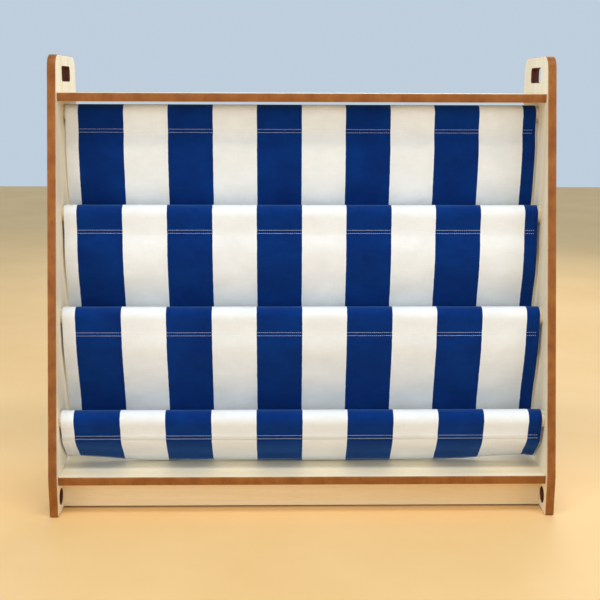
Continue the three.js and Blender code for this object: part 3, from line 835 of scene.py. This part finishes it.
class Cloth:
    """The sling as a grid of points: columns across it from the left, rows along it from the top end."""

    def __init__(self):
        inner = np.arange(HEM_STEPS[-1] + CLOTH_STEP, CLOTH_HALF - CLOTH_STEP / 2, CLOTH_STEP)
        left = np.concatenate([HEM_STEPS, inner])
        self.across = np.concatenate([left, [CLOTH_HALF], CLOTH_WIDTH - left[::-1]])
        lines = np.stack([section_points(a) for a in self.across / CLOTH_HALF - 1])
        middle = lines[len(lines) // 2]
        spans = np.linalg.norm(np.diff(middle, axis=0), axis=1)
        counts = np.maximum(1, np.round(spans / CLOTH_STEP)).astype(int)
        self.marks = np.concatenate([[0], np.cumsum(counts)])
        grid = smooth_lines(lines, counts)
        steps = np.linalg.norm(np.diff(grid[len(grid) // 2], axis=0), axis=1)
        self.along = np.concatenate([[0], np.cumsum(steps)])
        self.length = self.along[-1]
        self.find_parts()
        self.normal = self.normals(grid)
        grid = grid + self.normal * self.relief()[..., None]
        self.normal = self.normals(grid)
        self.grid = grid

    def find_parts(self):
        """How far along the cloth each seam and front wall starts, and how free each row of points
        hangs: 0 on a sleeve, up to 1 in a pocket."""
        sleeve = len(sleeve_points(1))
        pocket = len(pocket_points(1, 0))
        self.free = np.zeros(len(self.along))
        self.rear_seams, self.front_seams, self.front_walls = {}, {}, {}
        for index, number in enumerate(RODS):
            first = index * (sleeve + pocket)
            self.rear_seams[number] = self.along[self.marks[first + 1]]
            self.front_seams[number] = self.along[self.marks[first + sleeve - 2]]
            if number in POCKETS:
                start = self.along[self.marks[first + sleeve - 1]]
                end = self.along[self.marks[first + sleeve + pocket]]
                share = (self.along - start) / (end - start)
                inside = (share > 0) & (share < 1)
                self.free[inside] = np.sin(math.pi * share[inside])
                self.front_walls[number] = self.along[self.marks[first + sleeve + pocket - len(FRONT_WALL)]]

    def relief(self):
        """How far the cloth stands off its smooth section: slack ripples, and puckers at the seams."""
        across, along = self.across[:, None], self.along[None, :]
        free = self.free[None, :]
        slack = SLACK * ripples(across, along * SLACK_STRETCH, SLACK_LENGTH, seed=3)
        soft = SOFT * ripples(across, along, SOFT_LENGTH, seed=5, count=14)
        seams = list(self.rear_seams.values()) + [a + SEAM_HEIGHT for a in self.front_seams.values()]
        near = sum(np.exp(-((along - seam) / PUCKER_REACH) ** 2) for seam in seams)
        puckers = PUCKER * ripples(across, along * PUCKER_STRETCH, PUCKER_LENGTH, seed=8) * near
        edge = np.minimum(across, CLOTH_WIDTH - across)
        curl = CURL * np.exp(-edge / CURL_REACH)
        return free * (slack - curl) + np.sqrt(free) * soft + puckers

    @staticmethod
    def normals(grid):
        """Unit vectors in the section's plane that point away from the rods, to the cloth's right side."""
        along = np.gradient(grid, axis=1)
        along /= np.linalg.norm(along, axis=2)[..., None]
        return np.stack([along[..., 1], -along[..., 0]], 2)

    def thickness(self):
        """Half the thickness on the right side, and that of the wrong side with the turned hems."""
        edge = np.minimum(self.across, CLOTH_WIDTH - self.across)[:, None]
        rounding = np.sqrt(np.clip(EDGE_THICKNESS + (1 - EDGE_THICKNESS) * edge / HEM_STEPS[1], 0, 1))
        hem = np.clip((HEM_STEPS[-1] - edge) / (HEM_STEPS[-1] - HEM_STEPS[-2]), 0, 1)
        in_pocket = np.clip(self.free * 8, 0, 1)[None, :]
        half = CANVAS / 2 * rounding
        return half, half + HEM_FOLD * CANVAS * hem * in_pocket * rounding

    def surface(self, right_side):
        """Points of one side, as an array of (column, row, 3)."""
        half, back = self.thickness()
        offset = half if right_side else -back
        section = self.grid + self.normal * offset[..., None]
        x = np.broadcast_to(self.across[:, None] - CLOTH_HALF + CLOTH_SHIFT, section.shape[:2])
        return np.concatenate([x[..., None], section], 2)

    def at(self, across, along, right_side=True):
        """Points and outward normals of the surface at places on the flat cloth."""
        columns = np.interp(across, self.across, np.arange(len(self.across)))
        rows = np.interp(along, self.along, np.arange(len(self.along)))
        columns, rows = np.broadcast_arrays(columns, rows)
        c = np.minimum(columns.astype(int), len(self.across) - 2)
        r = np.minimum(rows.astype(int), len(self.along) - 2)
        u, v = (columns - c)[:, None], (rows - r)[:, None]

        def sample(values):
            return (
                (values[c, r] * (1 - u) + values[c + 1, r] * u) * (1 - v)
                + (values[c, r + 1] * (1 - u) + values[c + 1, r + 1] * u) * v
            )

        normal = sample(self.normal) * (1 if right_side else -1)
        normal = np.concatenate([np.zeros((len(normal), 1)), normal], 1)
        return sample(self.surface(right_side)), normal / np.linalg.norm(normal, axis=1)[:, None]


def make_canvas(cloth):
    columns, rows = len(cloth.across), len(cloth.along)
    sides = np.concatenate([cloth.surface(side).reshape(-1, 3) for side in (True, False)])
    index = np.arange(columns * rows).reshape(columns, rows)
    corner, right, down, both = index[:-1, :-1], index[1:, :-1], index[:-1, 1:], index[1:, 1:]
    outer = np.stack([corner, down, both, right], -1).reshape(-1, 4)
    inner = outer[:, ::-1] + columns * rows
    border = np.concatenate([index[:, 0], index[-1, 1:], index[-2::-1, -1], index[0, -2:0:-1]])
    following = np.roll(border, -1)
    rim = np.stack([border, following, following + columns * rows, border + columns * rows], -1)
    faces = np.concatenate([outer, inner, rim]).tolist()
    replaced = [f"sling_sleeve_{n}" for n in RODS] + [f"sling_pocket_{n}" for n in POCKETS]
    piece = new_piece("sling_canvas", sides, faces, ("canvas",), "canvas", replaced)
    set_smooth(piece.data, True)
    flat = np.zeros((columns, rows, 3))
    flat[..., 0] = cloth.across[:, None]
    flat[..., 1] = cloth.along[None, :]
    add_attribute(piece.data, "cloth", "FLOAT_VECTOR", np.concatenate([flat.reshape(-1, 3)] * 2))
    return piece


# ---------------------------------------------------------------- stitching

STITCH_SIDES = 5
# A stitch's rings, as (place along it, radius, height) in shares of its half length and its radius.
STITCH_RINGS = ((-1, 0.35, -0.6), (-0.55, 0.95, 0.25), (0.55, 0.95, 0.25), (1, 0.35, -0.6))


def stitches_along(centres, normals):
    """Points of a short rounded stitch at each centre, laid along the row that the centres make."""
    direction = np.gradient(centres, axis=0)
    direction /= np.linalg.norm(direction, axis=1)[:, None]
    sideways = np.cross(normals, direction)
    random = np.random.default_rng(len(centres))
    lengths = STITCH_LENGTH / 2 * random.uniform(0.92, 1.06, len(centres))
    angles = np.arange(STITCH_SIDES) * 2 * math.pi / STITCH_SIDES
    rings = []
    for along, swell, height in STITCH_RINGS:
        middle = centres + direction * (along * lengths)[:, None] + normals * (height * STITCH_RADIUS)
        for a in angles:
            spoke = sideways * math.cos(a) + normals * math.sin(a)
            rings.append(middle + spoke * swell * STITCH_RADIUS)
    return np.stack(rings, 1)


def stitch_faces():
    faces = []
    for ring in range(len(STITCH_RINGS) - 1):
        for i in range(STITCH_SIDES):
            j = (i + 1) % STITCH_SIDES
            low, high = ring * STITCH_SIDES, (ring + 1) * STITCH_SIDES
            faces.append((low + i, low + j, high + j, high + i))
    faces.append(tuple(range(STITCH_SIDES))[::-1])
    faces.append(tuple(range((len(STITCH_RINGS) - 1) * STITCH_SIDES, len(STITCH_RINGS) * STITCH_SIDES)))
    return faces


def seam_rows(cloth):
    """Two rows of stitches under each rod, seen from the front and from behind, and one row along
    the foot of the lowest pocket's front wall."""
    across = np.arange(HEM_STEPS[3], CLOTH_WIDTH - HEM_STEPS[3], STITCH_PITCH)
    places = [(cloth.front_seams[number] + drop, True) for number in RODS for drop in SEAM_ROWS]
    places += [(cloth.rear_seams[number] - drop, True) for number in RODS for drop in SEAM_ROWS]
    places.append((cloth.front_walls[POCKETS[-1]], False))
    return [stitches_along(*cloth.at(across, along, right_side)) for along, right_side in places]


def hem_rows(cloth, across):
    """The row of stitches down one side hem, and on the pockets' wrong side too."""
    along = np.arange(STITCH_PITCH, cloth.length - STITCH_PITCH, STITCH_PITCH)
    free = np.interp(along, cloth.along, cloth.free)
    return [
        stitches_along(*cloth.at(across, along)),
        stitches_along(*cloth.at(across, along, False))[free > 0.05],
    ]


def make_stitching(name, rows, finish):
    stitches = np.concatenate(rows)
    per_stitch = len(STITCH_RINGS) * STITCH_SIDES
    faces = [
        tuple(start + i for i in face)
        for start in range(0, len(stitches) * per_stitch, per_stitch)
        for face in stitch_faces()
    ]
    piece = new_piece(name, stitches.reshape(-1, 3), faces, (finish,), "canvas")
    set_smooth(piece.data, True)
    return piece


def make_sling():
    cloth = Cloth()
    sling = make_canvas(cloth)
    pale_rows = seam_rows(cloth) + hem_rows(cloth, HEM_ROW)
    stitching = [
        make_stitching("sling_seam_stitches", pale_rows, "thread"),
        make_stitching("sling_hem_stitches", hem_rows(cloth, CLOTH_WIDTH - HEM_ROW), "dark_thread"),
    ]


# ---------------------------------------------------------------- camera, light and floor

CAMERA_PLACE = (-0.039, -1.8275, 0.723)
CAMERA_PITCH = 11.52               # degrees down from level
CAMERA_YAW = 1.12                  # degrees towards +X
CAMERA_ROLL = 0.19
CAMERA_LENS = 62.1
CAMERA_SENSOR = 36

# Softboxes that face the bookshelf, as (place, size, power in watts, colour).
SOFTBOXES = {
    "ceiling_light": ((0.05, -0.8, 2.5), (2.0, 0.5), 27, (1, 0.99, 0.97)),
    "front_fill": ((-0.2, -2.8, 1.1), (2.0, 1.0), 10, (0.92, 0.97, 1)),
    "left_fill": ((-1.9, -1.5, 0.9), (1.4, 1.4), 14, (0.93, 0.97, 1)),
    "right_fill": ((1.9, -1.5, 0.9), (1.4, 1.4), 14, (0.93, 0.97, 1)),
    "back_fill": ((0.6, 2.2, 1.8), (2.0, 1.4), 24, (1, 1, 1)),
}
WORLD_COLOUR = (0.72, 0.86, 1, 1)
WORLD_STRENGTH = 0.72
FLOOR_REACH = 6


def make_camera():
    pitch, yaw, roll = (math.radians(a) for a in (CAMERA_PITCH, CAMERA_YAW, CAMERA_ROLL))
    ahead = Vector((math.sin(yaw) * math.cos(pitch), math.cos(yaw) * math.cos(pitch), -math.sin(pitch)))
    level = Vector((math.cos(yaw), -math.sin(yaw), 0))
    upright = level.cross(ahead)
    right = level * math.cos(roll) + upright * math.sin(roll)
    up = upright * math.cos(roll) - level * math.sin(roll)
    turn = Matrix((right, up, -ahead)).transposed().to_4x4()
    data = bpy.data.cameras.new("camera")
    data.sensor_width = CAMERA_SENSOR
    data.lens = CAMERA_LENS
    data.clip_start, data.clip_end = 0.05, 50
    camera = bpy.data.objects.new("camera", data)
    camera.matrix_world = Matrix.Translation(CAMERA_PLACE) @ turn
    bpy.context.scene.collection.objects.link(camera)
    bpy.context.scene.camera = camera


def make_softbox(name, place, size, power, colour):
    middle = (cad_box[0] + cad_box[1]) / 2
    data = bpy.data.lights.new(name, "AREA")
    data.shape = "RECTANGLE"
    data.size, data.size_y = size
    data.energy = power
    data.color = colour
    light = bpy.data.objects.new(name, data)
    light.location = place
    light.rotation_euler = (middle - Vector(place)).to_track_quat("-Z", "Y").to_euler()
    bpy.context.scene.collection.objects.link(light)


def make_studio():
    for name, (place, size, power, colour) in SOFTBOXES.items():
        make_softbox(name, place, size, power, colour)
    world = bpy.data.worlds.new("studio")
    world.use_nodes = True
    background = world.node_tree.nodes["Background"]
    background.inputs["Color"].default_value = WORLD_COLOUR
    background.inputs["Strength"].default_value = WORLD_STRENGTH
    bpy.context.scene.world = world
    bpy.context.scene.view_settings.view_transform = "Standard"
    turns = ((-1, -1), (1, -1), (1, 1), (-1, 1))
    corners = [(x * FLOOR_REACH, y * FLOOR_REACH, 0) for x, y in turns]
    new_piece("floor", corners, [(0, 1, 2, 3)], ("floor",))


make_camera()
make_studio()
make_boards()
make_rods()
make_screws()
make_dowels()
make_sling()
